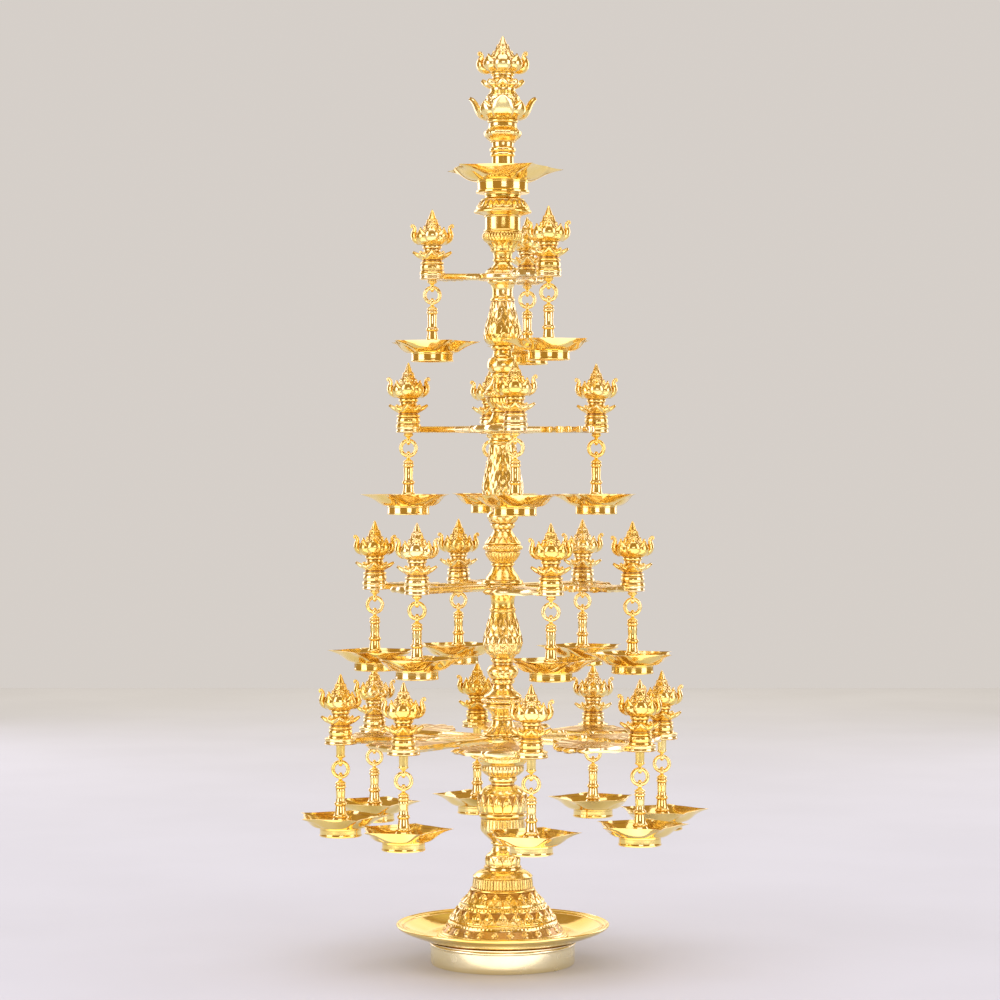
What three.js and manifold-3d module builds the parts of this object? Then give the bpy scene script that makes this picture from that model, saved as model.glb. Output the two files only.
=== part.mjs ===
// Standing brass oil lamp (samai): a weighted dish base, a turned column in screwed sections,
// four tiers of cast arms with hanging five-wick lamps, and a lamp bowl with a lotus finial on top.
// Millimetres, +Z up, origin at the centre of the foot on the floor.
import * as THREE from "three";
import { mergeVertices } from "three/addons/utils/BufferGeometryUtils.js";
import Module from "manifold-3d";

const wasm = await Module();
wasm.setup();

// Fits
const GAP = 0.3; // between faces that rest on each other, and round a spigot in its socket
const SPIGOT_R = 5;
const SPIGOT_GRIP = 9; // how far a spigot reaches into the next section

// Base
const FOOT_R = 94.4;
const FOOT_H = 31;
const FOOT_WALL = 4;
const DISH_RIM_R = 138;
const DISH_RISE = 20; // rim above the foot
const DISH_FLOOR = 6;
const DISH_WALL = 3.2;
const BELL_R = 85.3;
const BELL_H = 88;
const BELL_WALL = 4;
const BELL_NECK_R = 22.8;
const NUT_R = 11;
const NUT_H = 8;
const WASHER_R = 16;
const WASHER_H = 2.5;

// Hanging lamp
const RING_R = 9.7; // to the centre of the wire
const WIRE_R = 2.5;
const EYE_CLEAR = 0.9; // eye hole round the ring's wire
const EYE_WALL = 2.6;
const EYE_W = 5;
const TRAY_TIP_R = 62.8;
const TRAY_VALLEY = 0.72;
const TRAY_DEPTH = 15;
const TRAY_WALL = 2.6;
const LAMP_FOOT_R = 27.3;
const LAMP_FOOT_H = 11;
const LAMP_FOOT_RECESS = 2.5;
const LAMP_STEM = 59.6; // ring centre to the tray's rim
const SPOUTS = 5;

// Arms
const PLATE_H = 8;
const HUB_R = 32;
const BAR_W = 12;
const FINIAL_H = 82;
const COLUMN_MAX_R = 24.6;
const TRAY_CLEAR = 4.6; // inner tray tips to the column
const LOWER_COLUMN_H = 162;
const GOBLET_H = 100.4;

// Tiers from the bottom up: step outward from the tier above, room between lamp feet and
// the finials below, arm count, direction of the first arm, ring drop, end disc and the
// direction of one spout of each lamp, in degrees.
const TIERS = [
  { id: 4, step: 42, room: 0, arms: 8, first: -35.5, drop: 36.6, disc: 20.5,
    spouts: [4, 3, 5, 5, 4, 174, 26, 6] },
  { id: 3, step: 46.5, room: 0.1, arms: 6, first: -9.3, drop: 24.2, disc: 16,
    spouts: [177, 4, 6, 176, 3, 175] },
  { id: 2, step: 30.5, room: 8.1, arms: 4, first: -82.7, drop: 24.2, disc: 16,
    spouts: [176, 177, 4, 175] },
  { id: 1, step: 0, room: 1.2, arms: 3, first: -50.7, drop: 24.2, disc: 16,
    spouts: [176, 5, 5] },
];

// Top lamp
const BOWL_TIP_R = 81;
const BOWL_NECK_H = 4;
const BOWL_FOOT_R = 33.5;
const BOWL_FOOT_H = 15;
const BOWL_DEPTH = 17;
const BOWL_WALL = 3;
const BOWL_TURN = 10;
const TOP_STEM_R = 14.2;
const TOP_STEM_H = 47;
const TOP_FINIAL_H = 137.5;

// Turned outlines, [height, radius] from the lower face of each section to its upper face
const LOWER_OUTLINE = [
  [0, 22.8], [16, 22], [25, 14], [32, 12.5], [47, 25.9], [60, 28.4], [72, 31],
  [82, 32.8], [99, 30.1], [110, 15.5], [117, 17.7], [128, 27.5], [142, 31.9], [165, 27],
];
const SECTION_OUTLINES = {
  4: [
    [0, 26], [20, 13.6], [38, 24], [45, 27.8], [53, 19.4], [66, 12.2], [80, 19.8],
    [86, 19.1], [94, 13.3], [108, 21.7], [122, 25], [138, 21.7], [161, 15.3], [188, 20],
  ],
  3: [
    [0, 26], [11, 20.2], [23, 12.9], [38, 22.1], [47, 24.8], [55, 20.9], [70, 12.2],
    [85, 19.8], [102, 16.8], [119, 26.2], [135, 25.2], [162, 19], [184, 17.5], [196, 20.5],
  ],
  2: [
    [0, 24], [18, 13], [33, 20], [40, 24.6], [48, 20], [62, 13], [82, 19.7],
    [96, 12], [113, 23.9], [123, 23.1], [140, 18.1], [164, 13.2], [176, 13.2], [189, 19.5],
  ],
  1: [
    [0, 22], [9, 14.9], [14, 10.7], [27, 13.2], [42, 23.9], [50, 26.4], [60, 22.8],
    [73, 22.8], [78.5, 36.8], [81.5, 36.8], [94, 28.4], [100.4, 23.5],
  ],
};

const materials = {};

function brass(name, color, roughness) {
  if (!materials[name]) {
    materials[name] = new THREE.MeshStandardMaterial({ name, color, roughness, metalness: 1 });
  }
  return materials[name];
}

const polished = brass("polished_brass", 0xe8b93a, 0.18);
const satin = brass("satin_brass", 0xe6c779, 0.38);
const cast = brass("cast_brass", 0xdfae3c, 0.28);

// A closed solid from a geometry whose faces may meet in doubled points
function solid(geometry) {
  const bare = geometry.clone();
  bare.deleteAttribute("normal");
  bare.deleteAttribute("uv");
  const merged = mergeVertices(bare, 1e-3);
  const position = merged.attributes.position;
  const corners = [];
  for (let i = 0; i < merged.index.count; i += 3) {
    const [a, b, c] = [0, 1, 2].map((k) => merged.index.getX(i + k));
    if (a !== b && b !== c && c !== a) corners.push(a, b, c);
  }
  const p = [0, 1, 2].map(() => new THREE.Vector3());
  let volume = 0;
  for (let i = 0; i < corners.length; i += 3) {
    p.forEach((v, k) => v.fromBufferAttribute(position, corners[i + k]));
    volume += p[0].dot(p[1].clone().cross(p[2]));
  }
  if (volume < 0) corners.reverse();
  return new wasm.Manifold(new wasm.Mesh({
    numProp: 3,
    vertProperties: position.array,
    triVerts: new Uint32Array(corners),
  }));
}

function geometryOf(body) {
  const mesh = body.getMesh();
  const geometry = new THREE.BufferGeometry();
  geometry.setAttribute("position", new THREE.BufferAttribute(mesh.vertProperties, 3));
  geometry.setIndex(new THREE.BufferAttribute(mesh.triVerts, 1));
  geometry.computeVertexNormals();
  return geometry;
}

// A turned shape about +Z; outline is [height, radius] and starts and ends on the axis
function turned(outline, segments) {
  const points = outline.map(([z, r]) => new THREE.Vector2(r, z));
  return new THREE.LatheGeometry(points, segments).rotateX(Math.PI / 2).rotateZ(Math.PI / 2);
}

// Draws in the radius of a turned shape between its lobes; depth(r, z) is 0 where it stays round
function lobed(geometry, lobes, phase, depth) {
  const position = geometry.attributes.position;
  for (let i = 0; i < position.count; i += 1) {
    const x = position.getX(i);
    const y = position.getY(i);
    const wave = 0.5 - 0.5 * Math.cos(lobes * Math.atan2(y, x));
    const keep = 1 - wave * depth(Math.hypot(x, y), position.getZ(i));
    position.setXY(i, x * keep, y * keep);
  }
  return geometry.rotateZ(phase);
}

// A plate with the given outline, standing from z = low to z = low + height
function plate(shape, low, height, curveSegments = 4) {
  const settings = { depth: height, bevelEnabled: false, curveSegments };
  return new THREE.ExtrudeGeometry(shape, settings).translate(0, 0, low);
}

function stretched(outline, length) {
  const k = length / outline[outline.length - 1][0];
  return outline.map(([z, r]) => [z * k, r]);
}

// A column section: socket below, turned outline, spigot above
function columnSection(outline, length, spigot) {
  const sides = stretched(outline, length);
  return turned([
    [SPIGOT_GRIP + GAP, 0],
    [SPIGOT_GRIP + GAP, SPIGOT_R + GAP],
    [0, SPIGOT_R + GAP],
    ...sides,
    [length, SPIGOT_R],
    [length + spigot, SPIGOT_R],
    [length + spigot, 0],
  ], 12);
}

function footRing() {
  const lip = FOOT_R + 1.2;
  return turned([
    [0, FOOT_R - 3 - FOOT_WALL],
    [0, FOOT_R - 3],
    [3, FOOT_R - 1],
    [FOOT_H * 0.72, FOOT_R - 1],
    [FOOT_H * 0.78, lip],
    [FOOT_H * 0.92, lip],
    [FOOT_H - GAP, FOOT_R - 1],
    [FOOT_H - GAP, FOOT_R - 1 - FOOT_WALL * 2],
    [FOOT_H - 4, FOOT_R - 1 - FOOT_WALL * 2],
    [FOOT_H - 8, FOOT_R - 1 - FOOT_WALL],
    [0, FOOT_R - 3 - FOOT_WALL],
  ], 20);
}

function dish() {
  const hole = SPIGOT_R + GAP;
  const seat = Math.max(FOOT_R, BELL_R);
  return turned([
    [0, hole],
    [0, FOOT_R - 3],
    [3, seat + 6],
    [DISH_RISE * 0.46, DISH_RIM_R - 14],
    [DISH_RISE - 3, DISH_RIM_R],
    [DISH_RISE, DISH_RIM_R],
    [DISH_RISE, DISH_RIM_R - 4],
    [DISH_RISE * 0.46 + DISH_WALL, DISH_RIM_R - 20],
    [DISH_FLOOR - 1, seat + 4],
    [DISH_FLOOR - GAP, BELL_R + 1],
    [DISH_FLOOR - GAP, hole],
    [0, hole],
  ], 24);
}

function bell() {
  const k = BELL_H / 88;
  const hole = SPIGOT_R + GAP;
  const side = (share) => BELL_NECK_R + (BELL_R - BELL_NECK_R) * share;
  return turned([
    [0, BELL_R - BELL_WALL * 2],
    [0, BELL_R],
    [4 * k, side(0.92)],
    [14 * k, side(0.78)],
    [17 * k, side(0.74)],
    [32 * k, side(0.63)],
    [38 * k, side(0.555)],
    [50 * k, side(0.34)],
    [60 * k, side(0.31)],
    [75 * k, side(0.25)],
    [83 * k, side(0.1)],
    [BELL_H - GAP, BELL_NECK_R],
    [BELL_H - GAP, hole],
    [BELL_H - 8, hole],
    [58 * k, side(0.29) - BELL_WALL * 1.6],
    [24 * k, side(0.6) - BELL_WALL * 1.6],
    [0, BELL_R - BELL_WALL * 2],
  ], 20);
}

// Disc with a hole, on a spigot
function washer() {
  return turned([
    [0, SPIGOT_R + GAP],
    [0, WASHER_R],
    [WASHER_H, WASHER_R],
    [WASHER_H, SPIGOT_R + GAP],
    [0, SPIGOT_R + GAP],
  ], 16);
}

function nut() {
  const shape = new THREE.Shape();
  for (let i = 0; i < 6; i += 1) {
    const a = (i * Math.PI) / 3;
    shape[i ? "lineTo" : "moveTo"](NUT_R * Math.cos(a), NUT_R * Math.sin(a));
  }
  shape.closePath();
  shape.holes.push(new THREE.Path().absarc(0, 0, SPIGOT_R + GAP * 2, 0, 2 * Math.PI, true));
  return plate(shape, 0, NUT_H, 8);
}

const eyeReach = WIRE_R + EYE_CLEAR + EYE_WALL;

// The loop that a ring passes through, its hole along X, centred on the origin
function eye() {
  const hole = (WIRE_R + EYE_CLEAR) / Math.cos(Math.PI / 6);
  const shape = new THREE.Shape();
  const path = new THREE.Path();
  for (let i = 0; i < 6; i += 1) {
    const a = (i * Math.PI) / 3;
    const outer = eyeReach;
    shape[i ? "lineTo" : "moveTo"](outer * Math.cos(a), outer * Math.sin(a));
    path[i ? "lineTo" : "moveTo"](hole * Math.cos(a), -hole * Math.sin(a));
  }
  shape.closePath();
  path.closePath();
  shape.holes.push(path);
  return plate(shape, -EYE_W / 2, EYE_W).rotateY(Math.PI / 2);
}

function ring() {
  return new THREE.TorusGeometry(RING_R, WIRE_R, 5, 12).rotateX(Math.PI / 2);
}

const lampLength = LAMP_STEM + TRAY_DEPTH + LAMP_FOOT_H;

// A hanging lamp below the centre of its ring: eye, stem, star tray and foot; one spout
// points along the given direction, and the eye stays in line with the ring
function lamp(spout) {
  const rim = -LAMP_STEM;
  const floor = rim - TRAY_DEPTH;
  const sole = floor - LAMP_FOOT_H;
  const neck = -RING_R - eyeReach + 1.2;
  const phase = THREE.MathUtils.degToRad(spout);
  const fold = (r) => {
    const reach = (r - LAMP_FOOT_R - 2) / (TRAY_TIP_R - TRAY_WALL - LAMP_FOOT_R - 2);
    return (1 - TRAY_VALLEY) * THREE.MathUtils.clamp(reach, 0, 1);
  };
  const outside = turned([
    [sole + LAMP_FOOT_RECESS, 0],
    [sole + LAMP_FOOT_RECESS, LAMP_FOOT_R - 4 - LAMP_FOOT_RECESS],
    [sole, LAMP_FOOT_R - 4],
    [sole, LAMP_FOOT_R],
    [floor, LAMP_FOOT_R],
    [rim, TRAY_TIP_R],
    [rim, 0],
  ], SPOUTS * 2);
  // Turned the same way up as the outside, so that both sides of the wall fold alike
  const hollow = turned([
    [floor + TRAY_WALL, 0],
    [floor + TRAY_WALL, LAMP_FOOT_R + 1],
    [rim, TRAY_TIP_R - TRAY_WALL],
    [rim + 2, TRAY_TIP_R - TRAY_WALL],
    [rim + 2, 0],
  ], SPOUTS * 2);
  lobed(outside, SPOUTS, phase, fold);
  lobed(hollow, SPOUTS, phase, fold);
  const bowl = solid(outside).subtract(solid(hollow));
  const post = turned([
    [floor + 1, 0],
    [floor + 1, 14],
    [rim + 13, 6.2],
    [rim + 17, 7.8],
    [rim + 21, 5.8],
    [neck - 4, 6.8],
    [neck, 3.4],
    [neck, 0],
  ], 6).rotateZ(phase);
  const loop = eye().translate(0, 0, -RING_R);
  return bowl.add(solid(post)).add(solid(loop));
}

// The lotus finial on each arm's disc, standing on z = 0
function armFinial(foot) {
  const k = FINIAL_H / 82;
  const body = turned([
    [-1, 0],
    [-1, foot - 0.3],
    [12 * k, foot - 0.3],
    [16 * k, 13],
    [25 * k, 24.9],
    [29 * k, 8.4],
    [36 * k, 8.4],
    [49 * k, 27],
    [60 * k, 22.8],
    [58 * k, 11.5],
    [FINIAL_H, 0],
  ], 8);
  const petals = (r, z) => (z > 20 * k && z < 61 * k && r > 12 ? 0.34 : 0);
  return solid(lobed(body, 4, 0, petals));
}

// The pendant under each disc, ending in the eye round the ring's top
function pendant(drop) {
  const low = -drop + RING_R + eyeReach - 1;
  const body = turned([[low, 0], [low, 3.6], [low + 2.5, 7.2], [1, 7.2], [1, 0]], 6);
  return solid(body).add(solid(eye().translate(0, 0, RING_R - drop)));
}

// A flat arm with its vine scroll on one side, pointing along +X
function arm(reach, disc) {
  const at = (share, degrees) => {
    const a = THREE.MathUtils.degToRad(-degrees);
    return [share * reach * Math.cos(a), share * reach * Math.sin(a)];
  };
  const shape = new THREE.Shape();
  shape.moveTo(HUB_R - 6, BAR_W / 2);
  shape.lineTo(reach, BAR_W / 2);
  shape.lineTo(reach, -BAR_W / 2);
  shape.lineTo(...at(0.96, 18));
  shape.lineTo(...at(0.85, 29));
  shape.lineTo(...at(0.72, 25));
  shape.lineTo(reach * 0.54, -BAR_W / 2);
  shape.lineTo(HUB_R - 6, -BAR_W / 2);
  shape.closePath();
  const bar = solid(plate(shape, -PLATE_H / 2, PLATE_H));
  const end = new THREE.CylinderGeometry(disc, disc, PLATE_H, 8).rotateX(Math.PI / 2);
  return bar.add(solid(end.translate(reach, 0, 0)));
}

function tierArms(tier) {
  const hubOutline = [
    [-PLATE_H / 2, SPIGOT_R + GAP],
    [-PLATE_H / 2, HUB_R],
    [PLATE_H / 2, HUB_R],
    [PLATE_H / 2, SPIGOT_R + GAP],
    [-PLATE_H / 2, SPIGOT_R + GAP],
  ];
  let body = solid(turned(hubOutline, 16));
  for (let i = 0; i < tier.arms; i += 1) {
    const turn = armAngle(tier, i);
    const degrees = THREE.MathUtils.radToDeg(turn);
    const at = [tier.reach * Math.cos(turn), tier.reach * Math.sin(turn)];
    body = body.add(arm(tier.reach, tier.disc).rotate([0, 0, degrees]));
    body = body.add(armFinial(Math.min(tier.disc, 16)).translate([...at, PLATE_H / 2]));
    body = body.add(pendant(tier.drop).translate([...at, 0]));
  }
  return body;
}

function armAngle(tier, i) {
  return THREE.MathUtils.degToRad(tier.first - (i * 360) / tier.arms);
}

function topBowl() {
  const hole = SPIGOT_R + GAP;
  const foot = BOWL_NECK_H;
  const floor = foot + BOWL_FOOT_H;
  const rim = floor + BOWL_DEPTH;
  const body = turned([
    [GAP, hole],
    [GAP, BOWL_FOOT_R * 0.78],
    [foot, BOWL_FOOT_R * 0.8],
    [foot, BOWL_FOOT_R + 1],
    [foot + 3, BOWL_FOOT_R + 1],
    [foot + 4, BOWL_FOOT_R - 1],
    [floor, BOWL_FOOT_R - 1],
    [rim - 2, BOWL_TIP_R - 4],
    [rim, BOWL_TIP_R],
    [rim, BOWL_TIP_R - BOWL_WALL],
    [floor + BOWL_WALL, BOWL_FOOT_R],
    [floor + BOWL_WALL, hole],
    [GAP, hole],
  ], SPOUTS * 4);
  lobed(body, SPOUTS, 0, (r) => {
    const reach = (r - BOWL_FOOT_R - 2) / (BOWL_TIP_R - BOWL_WALL - BOWL_FOOT_R - 2);
    return (1 - TRAY_VALLEY) * THREE.MathUtils.clamp(reach, 0, 1);
  });
  return body;
}

// The post that stands in the bowl: a long spigot below, a double bead and a spigot above
function topStem() {
  const below = BOWL_NECK_H + BOWL_FOOT_H + BOWL_WALL + GAP + SPIGOT_GRIP;
  return turned([
    [-below, 0],
    [-below, SPIGOT_R],
    [0, SPIGOT_R],
    [0, 19],
    [6, 16],
    [20, TOP_STEM_R],
    [31, TOP_STEM_R],
    [34, 17.5],
    [40, 17.5],
    [TOP_STEM_H - 4, TOP_STEM_R],
    [TOP_STEM_H - GAP, TOP_STEM_R],
    [TOP_STEM_H - GAP, SPIGOT_R],
    [TOP_STEM_H + SPIGOT_GRIP, SPIGOT_R],
    [TOP_STEM_H + SPIGOT_GRIP, 0],
  ], 12);
}

function topFinial() {
  const k = TOP_FINIAL_H / 137.5;
  const body = turned([
    [SPIGOT_GRIP + GAP, 0],
    [SPIGOT_GRIP + GAP, SPIGOT_R + GAP],
    [0, SPIGOT_R + GAP],
    [0, 15],
    [9.5 * k, 24.8],
    [22.5 * k, 17.8],
    [28 * k, 19],
    [56.5 * k, 43],
    [60 * k, 22],
    [67.5 * k, 16],
    [80.5 * k, 27],
    [84 * k, 13.3],
    [89.5 * k, 14],
    [98.5 * k, 31.4],
    [115.5 * k, 24],
    [114 * k, 18.6],
    [122.5 * k, 14],
    [131.5 * k, 4.5],
    [TOP_FINIAL_H, 0],
  ], 16);
  const petals = (r, z) => (z > 26 * k && z < 116 * k && r > 20 ? 0.36 : 0);
  return lobed(body, 4, 0, petals);
}

const lamps = new THREE.Group();
lamps.name = "standing_oil_lamp";

function place(name, geometry, material, x, y, z, turn = 0) {
  const mesh = new THREE.Mesh(geometry, material);
  mesh.name = name;
  mesh.position.set(x, y, z);
  mesh.rotation.z = turn;
  lamps.add(mesh);
}

function joined(geometry) {
  return geometryOf(solid(geometry));
}

// Base
const dishZ = FOOT_H;
const bellZ = dishZ + DISH_FLOOR;
const columnZ = bellZ + BELL_H;
place("base_foot_ring", joined(footRing()), satin, 0, 0, 0);
place("base_dish", joined(dish()), polished, 0, 0, dishZ);
place("base_bell", joined(bell()), cast, 0, 0, bellZ);
place("base_washer", joined(washer()), satin, 0, 0, dishZ - WASHER_H - GAP);
place("base_nut", joined(nut()), satin, 0, 0, dishZ - WASHER_H - NUT_H - 2 * GAP);

// Lower column, with the long stud that the base is clamped on
const studLength = columnZ - dishZ + WASHER_H + NUT_H + 2 * GAP;
const spigotThrough = PLATE_H + 2 * GAP + SPIGOT_GRIP;
const lowerColumn = turned([
  [-studLength, 0],
  [-studLength, SPIGOT_R],
  [0, SPIGOT_R],
  ...stretched(LOWER_OUTLINE, LOWER_COLUMN_H - GAP),
  [LOWER_COLUMN_H - GAP, SPIGOT_R],
  [LOWER_COLUMN_H - GAP + spigotThrough, SPIGOT_R],
  [LOWER_COLUMN_H - GAP + spigotThrough, 0],
], 12);
place("lower_column", joined(lowerColumn), cast, 0, 0, columnZ);

// Tiers: heights from the bottom up, reaches from the top down
const tierRise = PLATE_H / 2 + FINIAL_H + lampLength;
TIERS.forEach((tier, i) => {
  const below = TIERS[i - 1];
  tier.z = below ? below.z + tierRise + tier.drop + tier.room : columnZ + LOWER_COLUMN_H + PLATE_H / 2;
});
[...TIERS].reverse().forEach((tier, i, down) => {
  tier.reach = i ? down[i - 1].reach + tier.step : COLUMN_MAX_R + TRAY_CLEAR + TRAY_TIP_R;
});

TIERS.forEach((tier, i) => {
  const above = TIERS[i + 1];
  const foot = tier.z + PLATE_H / 2;
  const length = above ? above.z - PLATE_H / 2 - foot - 2 * GAP : GOBLET_H - GAP;
  const spigot = above ? spigotThrough : 0;
  const section = above
    ? columnSection(SECTION_OUTLINES[tier.id], length, spigot)
    : goblet(length);
  place(`tier_${tier.id}_arms`, geometryOf(tierArms(tier)), cast, 0, 0, tier.z);
  place(`column_section_${tier.id}`, joined(section), polished, 0, 0, foot + GAP);
});

// The uppermost section has a socket at both ends
function goblet(length) {
  const sides = stretched(SECTION_OUTLINES[1], length);
  return turned([
    [SPIGOT_GRIP + GAP, 0],
    [SPIGOT_GRIP + GAP, SPIGOT_R + GAP],
    [0, SPIGOT_R + GAP],
    ...sides,
    [length, SPIGOT_R + GAP],
    [length - SPIGOT_GRIP - 2 * GAP, SPIGOT_R + GAP],
    [length - SPIGOT_GRIP - 2 * GAP, 0],
  ], 16);
}

// Hanging lamps
const ringShape = joined(ring());
for (const tier of TIERS) {
  for (let i = 0; i < tier.arms; i += 1) {
    const turn = armAngle(tier, i);
    const x = tier.reach * Math.cos(turn);
    const y = tier.reach * Math.sin(turn);
    const z = tier.z - tier.drop;
    const id = `t${tier.id}_${i + 1}`;
    place(`ring_${id}`, ringShape, polished, x, y, z);
    place(`lamp_${id}`, geometryOf(lamp(tier.spouts[i])), polished, x, y, z);
  }
}

// Top lamp
const bowlZ = TIERS[3].z + PLATE_H / 2 + GOBLET_H;
const stemZ = bowlZ + BOWL_NECK_H + BOWL_FOOT_H + BOWL_WALL + GAP;
place("top_lamp_bowl", joined(topBowl()), polished, 0, 0, bowlZ, THREE.MathUtils.degToRad(BOWL_TURN));
place("top_finial_stem", joined(topStem()), polished, 0, 0, stemZ);
place("top_finial", joined(topFinial()), cast, 0, 0, stemZ + TOP_STEM_H);

export default lamps;
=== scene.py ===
"""Standing brass oil lamp: dish base, screwed column, four tiers of scrolled arms with hanging
five-wick lamps on rings, and a lamp bowl under a lotus finial. Lengths are in millimetres until a
mesh is made, which is where they become metres."""

import math

import bpy
import numpy as np
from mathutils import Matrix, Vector


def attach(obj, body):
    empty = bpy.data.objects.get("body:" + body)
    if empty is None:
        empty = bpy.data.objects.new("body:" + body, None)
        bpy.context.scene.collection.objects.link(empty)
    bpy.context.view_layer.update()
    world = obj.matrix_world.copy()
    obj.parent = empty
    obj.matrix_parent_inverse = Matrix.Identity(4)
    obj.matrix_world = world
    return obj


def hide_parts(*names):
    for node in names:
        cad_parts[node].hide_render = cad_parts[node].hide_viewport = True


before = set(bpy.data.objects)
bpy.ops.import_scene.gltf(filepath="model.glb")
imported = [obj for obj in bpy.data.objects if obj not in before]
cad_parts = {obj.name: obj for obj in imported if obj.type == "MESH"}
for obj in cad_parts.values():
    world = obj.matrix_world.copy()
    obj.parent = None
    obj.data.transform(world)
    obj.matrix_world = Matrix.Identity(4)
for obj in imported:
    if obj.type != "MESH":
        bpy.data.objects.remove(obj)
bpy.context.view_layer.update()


# ---------------------------------------------------------------------------------------------
# Foot ring: a heavy cast ring, turned true on a lathe and left with its fine satin turning marks.
# A raised lip near its top stiffens it, and the dish rests on it.
FOOT_RADIUS = 93.4
FOOT_HEIGHT = 30.7


def outline(*points, steps=5):
    """Radius and height of a turned profile: a Catmull-Rom curve through the points, with a
    corner wherever None stands between two of them."""
    runs, run = [], []
    for point in points:
        if point is None:
            runs.append(run)
            run = [run[-1]]
        else:
            run.append(point)
    runs.append(run)
    pieces = []
    for run in runs:
        if len(run) == 1:
            continue
        p = np.array(run, float)
        p = np.vstack([2 * p[0] - p[1], p, 2 * p[-1] - p[-2]])
        t = np.linspace(0, 1, steps, endpoint=False)[:, None]
        a, b, c, d = p[:-3], p[1:-2], p[2:-1], p[3:]
        span = 0.5 * (
            2 * b[:, None]
            + (c - a)[:, None] * t
            + (2 * a - 5 * b + 4 * c - d)[:, None] * t**2
            + (3 * b - a - 3 * c + d)[:, None] * t**3
        )
        pieces.append(span.reshape(-1, 2))
    pieces.append(np.array([runs[-1][-1]], float))
    return np.vstack(pieces)


def grid_quads(rows, columns, joined=False):
    """Corner numbers of the faces of a grid that closes along each row, and also from the last row
    back to the first if joined."""
    i = np.arange(rows if joined else rows - 1)[:, None]
    j = np.arange(columns)[None]
    k, m = (i + 1) % rows, (j + 1) % columns
    return np.stack(
        [i * columns + j, i * columns + m, k * columns + m, k * columns + j], -1
    ).reshape(-1, 4)


def revolve(curve, count, relief=None, joined=False):
    """A profile carried round +Z. relief(angle, height) gives how far the surface stands
    out along the profile's normal, in mm. Hollows of the profile and of the relief are kept as
    the third value, from 0 on open metal to 1 deep in a groove; the brass is darkened there,
    partly patina and partly painted shade."""
    along = np.gradient(curve, axis=0)
    along /= np.linalg.norm(along, axis=1)[:, None] + 1e-9
    bend = np.gradient(along, axis=0)
    step = np.linalg.norm(np.gradient(curve, axis=0), axis=1) + 1e-6
    # Concave bends of the profile: the brass is darkened there, partly patina and partly painted
    # shade.
    hollow = np.clip(-(along[:, 0] * bend[:, 1] - along[:, 1] * bend[:, 0]) / step * 1.6, 0, 1)
    angle = np.arange(count) * 2 * np.pi / count
    r, z = curve[:, :1] + 0 * angle, curve[:, 1:] + 0 * angle
    out = relief(angle + 0 * r, z) if relief else 0 * r
    # Sunk relief is darkened too, partly patina and partly painted shade.
    deep = np.clip(hollow[:, None] + np.clip(-out * 0.9, 0, 1), 0, 1)
    r = r + out * along[:, 1:]
    z = z - out * along[:, :1]
    points = np.stack([r * np.cos(angle), r * np.sin(angle), z], -1).reshape(-1, 3)
    rows = len(curve)
    caps = []
    if not joined:
        caps = [np.arange(count)[::-1], np.arange(count) + (rows - 1) * count]
    return points, grid_quads(rows, count, joined), caps, deep.ravel()


def moved(shell, x=0, y=0, z=0, turn=0):
    """A shell turned about +Z by turn degrees and then shifted."""
    points, quads, caps, deep = shell
    c, s = math.cos(math.radians(turn)), math.sin(math.radians(turn))
    rotation = np.array([[c, s, 0], [-s, c, 0], [0, 0, 1]])
    return points @ rotation + [x, y, z], quads, caps, deep


def piece(name, shells, material, body, replaces=(), corner=38):
    """One mesh object from closed shells, in metres, riding on a body of the frame."""
    starts = np.cumsum([0] + [len(s[0]) for s in shells])
    points = np.vstack([s[0] for s in shells]) * 0.001
    quads = np.vstack([s[1] + n for s, n in zip(shells, starts)])
    caps = [c + n for s, n in zip(shells, starts) for c in s[2]]
    deep = np.concatenate([s[3] for s in shells])
    mesh = bpy.data.meshes.new(name)
    mesh.vertices.add(len(points))
    mesh.vertices.foreach_set("co", points.ravel())
    loops = np.concatenate([quads.ravel(), *caps]).astype(np.int32)
    sizes = np.array([4] * len(quads) + [len(c) for c in caps])
    mesh.loops.add(len(loops))
    mesh.loops.foreach_set("vertex_index", loops)
    mesh.polygons.add(len(sizes))
    mesh.polygons.foreach_set("loop_start", np.cumsum(sizes) - sizes)
    mesh.polygons.foreach_set("use_smooth", np.ones(len(sizes), bool))
    mesh.update(calc_edges=True)
    mesh.attributes.new("darkening", "FLOAT", "POINT").data.foreach_set("value", deep)
    mesh.set_sharp_from_angle(angle=math.radians(corner))
    mesh.materials.append(material)
    thing = bpy.data.objects.new(name, mesh)
    bpy.context.scene.collection.objects.link(thing)
    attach(thing, body)
    if replaces:
        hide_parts(*replaces)


class Value:
    """A number on a surface: a shader socket that adds Math nodes when it is used in a sum."""

    def __init__(self, tree, socket):
        self.tree = tree
        self.socket = socket

    def math(self, operation, *values):
        settings = {"operation": operation}
        return self.tree.node("ShaderNodeMath", settings, dict(enumerate(values)))

    def __add__(self, other):
        return self.math("ADD", self, other)

    def __sub__(self, other):
        return self.math("SUBTRACT", self, other)

    def __mul__(self, other):
        return self.math("MULTIPLY", self, other)

    def __rsub__(self, other):
        return self.math("SUBTRACT", other, self)

    __radd__ = __add__
    __rmul__ = __mul__

    def between(self, low, high):
        """0 below low, 1 above high, smooth between."""
        settings = {"interpolation_type": "SMOOTHSTEP"}
        values = {"Value": self, "From Min": low, "From Max": high}
        return self.tree.node("ShaderNodeMapRange", settings, values)


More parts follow.
